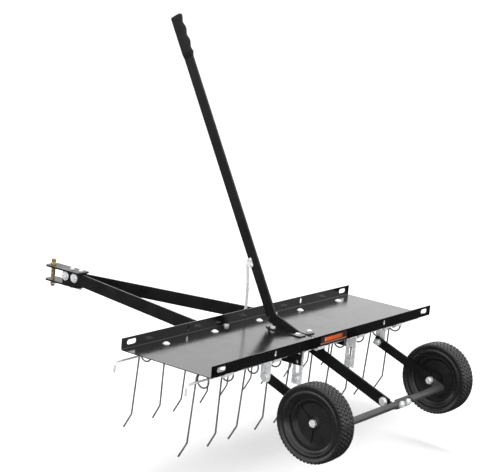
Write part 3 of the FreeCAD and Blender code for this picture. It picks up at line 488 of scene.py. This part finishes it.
def tyre(side):
    """A treaded tyre in place of the plain CAD one, swept round the hub from one section."""
    node = "tyre_" + side
    low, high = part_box(node)
    hub_low, hub_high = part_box("wheel_hub_" + side)
    centre = (low + high) / 2
    half = (high.x - low.x) / 2 - TYRE_CLEARANCE
    crown = (high.z - low.z) / 2
    bead = (hub_high.z - hub_low.z) / 2
    section = tyre_section(half, crown, bead)
    around = TREAD_PITCHES * POINTS_PER_PITCH
    points = []
    faces = []
    count = len(section)
    for index in range(around):
        turn = 2 * math.pi * index / around
        outward = Vector((0, math.cos(turn), math.sin(turn)))
        for axial, radial, share in section:
            radial -= TREAD_DEPTH * share * (1 - tread(axial, turn, half))
            points.append(centre + Vector((axial, 0, 0)) + outward * radial)
        here = index * count
        after = (index + 1) % around * count
        for step in range(count - 1):
            faces.append((here + step, here + step + 1, after + step + 1, after + step))
    piece = make_piece("tread_tyre_" + side, points, faces, "tyre_rubber", "wheel_" + side)
    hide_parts(node)


# ---------------------------------------------------------------- small pieces
def handle_grip():
    """Moulded grip: rounded all round, with finger waves on its rear edge and a thin cuff at its foot."""
    low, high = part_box("handle_grip")
    direction = Vector((0, math.cos(HANDLE_ANGLE), math.sin(HANDLE_ANGLE)))
    rearward = Vector((0, -math.sin(HANDLE_ANGLE), math.cos(HANDLE_ANGLE)))
    top_z = high.z - GRIP_HALF * math.cos(HANDLE_ANGLE)
    top_y = high.y - GRIP_HALF * math.sin(HANDLE_ANGLE)
    top = Vector(((low.x + high.x) / 2, top_y, top_z))
    thick = (high.x - low.x) / 2
    points = []
    for ring in range(GRIP_RINGS + 1):
        along = GRIP_LENGTH * ring / GRIP_RINGS
        below = (along + GRIP_PHASE) / GRIP_WAVE
        wave = GRIP_WAVE_HEIGHT * (0.5 - 0.5 * math.cos(2 * math.pi * below)) ** 0.8
        foot = min(1.0, (GRIP_LENGTH - along) / GRIP_CUFF)
        crown = math.sqrt(max(0.0, 1 - (1 - min(1.0, along / GRIP_CROWN)) ** 2))
        front = (GRIP_HALF - GRIP_CUFF_STEP * (1 - foot)) * (0.8 + 0.2 * crown)
        rear = (GRIP_HALF - 0.0012 + (wave - 0.0004) * foot) * (0.8 + 0.2 * crown)
        side = (thick * (0.74 + 0.26 * foot)) * (0.55 + 0.45 * crown)
        for step in range(GRIP_AROUND):
            turn = 2 * math.pi * step / GRIP_AROUND
            cosine = math.cos(turn)
            sine = math.sin(turn)
            reach = rear if cosine > 0 else front
            across = math.copysign(abs(cosine) ** 0.45, cosine) * reach
            out = math.copysign(abs(sine) ** 0.6, sine) * side
            points.append(top - direction * along + rearward * across + Vector((out, 0, 0)))
    faces = []
    for ring in range(GRIP_RINGS):
        for step in range(GRIP_AROUND):
            a = ring * GRIP_AROUND + step
            b = ring * GRIP_AROUND + (step + 1) % GRIP_AROUND
            faces.append((a, b, b + GRIP_AROUND, a + GRIP_AROUND))
    faces.append(tuple(reversed(range(GRIP_AROUND))))
    faces.append(tuple(range(GRIP_RINGS * GRIP_AROUND, (GRIP_RINGS + 1) * GRIP_AROUND)))
    piece = make_piece("moulded_grip", points, faces, "grip_vinyl", "lift_lever")
    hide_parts("handle_grip")


def label():
    """Sticker on the outside of the rear lip."""
    rear = TRAY_LOW.y
    low = Vector((DECK.x + LABEL_LEFT, rear - LABEL_FACE, DECK.z + LABEL_LOW))
    high = Vector((DECK.x + LABEL_RIGHT, rear - LABEL_BACK, DECK.z + LABEL_HIGH))
    printed = printed_label(low, high)
    radius = LABEL_CORNER
    outline = []
    corners = ((high.x, high.z, 0), (low.x, high.z, 1), (low.x, low.z, 2), (high.x, low.z, 3))
    for x, z, quarter in corners:
        centre_x = x - radius if quarter in (0, 3) else x + radius
        centre_z = z - radius if quarter in (0, 1) else z + radius
        for step in range(5):
            turn = math.pi / 2 * (quarter + step / 4)
            outline.append((centre_x + radius * math.cos(turn), centre_z + radius * math.sin(turn)))
    front = [Vector((x, low.y, z)) for x, z in outline]
    back = [Vector((x, high.y, z)) for x, z in outline]
    count = len(outline)
    faces = [tuple(range(count)), tuple(reversed(range(count, 2 * count)))]
    for index in range(count):
        after = (index + 1) % count
        faces.append((after, index, count + index, count + after))
    make_piece("rear_label", front + back, faces, "deck_enamel", "deck", smooth=False, material=printed)


# ---------------------------------------------------------------- studio
def lowest_reach():
    """Height of the lowest point that the wheels come to while the lever swings them down."""
    hinge = JOINTS["lift_pivot"]
    pivot = Vector(hinge["pos_m"])
    low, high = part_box("tyre_left")
    arm = (low + high) / 2 - pivot
    radius = (high.z - low.z) / 2
    start, end = (math.radians(limit) for limit in hinge["range_deg"])
    turns = [start + (end - start) * step / SWING_STEPS for step in range(SWING_STEPS + 1)]
    heights = [(Matrix.Rotation(turn, 3, Vector(hinge["axis"])) @ arm).z for turn in turns]
    return pivot.z + min(heights) - radius


def studio():
    """Floor below the lowest swing of the wheels, a pale sky and two softboxes."""
    floor_z = min(CAD_BOX[0][2], lowest_reach()) - FLOOR_GAP
    bpy.ops.mesh.primitive_plane_add(size=FLOOR_SIZE, location=(0, 0, floor_z))
    floor = bpy.context.object
    floor.name = "studio_floor"
    floor.data.materials.append(pale_floor())
    floor.visible_glossy = False

    world = bpy.data.worlds.new("studio")
    bpy.context.scene.world = world
    world.use_nodes = True
    tree = world.node_tree
    direction = tree.nodes.new("ShaderNodeTexCoord")
    split = tree.nodes.new("ShaderNodeSeparateXYZ")
    tree.links.new(direction.outputs["Generated"], split.inputs[0])
    height = tree.nodes.new("ShaderNodeMapRange")
    height.inputs["From Min"].default_value = -1.0
    tree.links.new(split.outputs["Z"], height.inputs["Value"])
    sky = ramp(tree, height.outputs["Result"], SKY)
    tree.links.new(sky, tree.nodes["Background"].inputs["Color"])
    bpy.context.scene.view_settings.view_transform = "Standard"

    def softbox(name, place, size, power):
        light = bpy.data.lights.new(name, "AREA")
        light.shape = "RECTANGLE"
        light.size = size
        light.size_y = size * 0.6
        light.energy = power
        lamp = bpy.data.objects.new(name, light)
        lamp.location = place
        lamp.rotation_euler = (DECK - Vector(place)).to_track_quat("-Z", "Y").to_euler()
        lamp.visible_glossy = False
        bpy.context.collection.objects.link(lamp)

    softbox("overhead", (0.3, -0.2, 3.2), 2.4, 60)
    softbox("left_side", (-3.0, 1.2, 1.8), 1.6, 30)


def camera():
    """A low viewpoint behind the machine and to its left, rolled a little."""
    eye = DECK + VIEW_FROM_DECK
    sine, cosine = math.sin(VIEW_AZIMUTH), math.cos(VIEW_AZIMUTH)
    level = math.cos(VIEW_ELEVATION)
    back = Vector((sine * level, -cosine * level, math.sin(VIEW_ELEVATION)))
    right = Vector((cosine, sine, 0))
    up = back.cross(right)
    rolled_right = right * math.cos(VIEW_ROLL) + up * math.sin(VIEW_ROLL)
    rolled_up = up * math.cos(VIEW_ROLL) - right * math.sin(VIEW_ROLL)
    lens = bpy.data.cameras.new("view")
    lens.sensor_width = VIEW_SENSOR
    lens.lens = VIEW_LENS
    lens.clip_end = FLOOR_SIZE * 1.25
    viewer = bpy.data.objects.new("view", lens)
    matrix = Matrix((rolled_right, rolled_up, back)).transposed().to_4x4()
    matrix.translation = eye
    viewer.matrix_world = matrix
    bpy.context.collection.objects.link(viewer)
    bpy.context.scene.camera = viewer


dress_cad_nodes()
spring_tines()
for side in ("left", "right"):
    tyre(side)
handle_grip()
label()
studio()
camera()
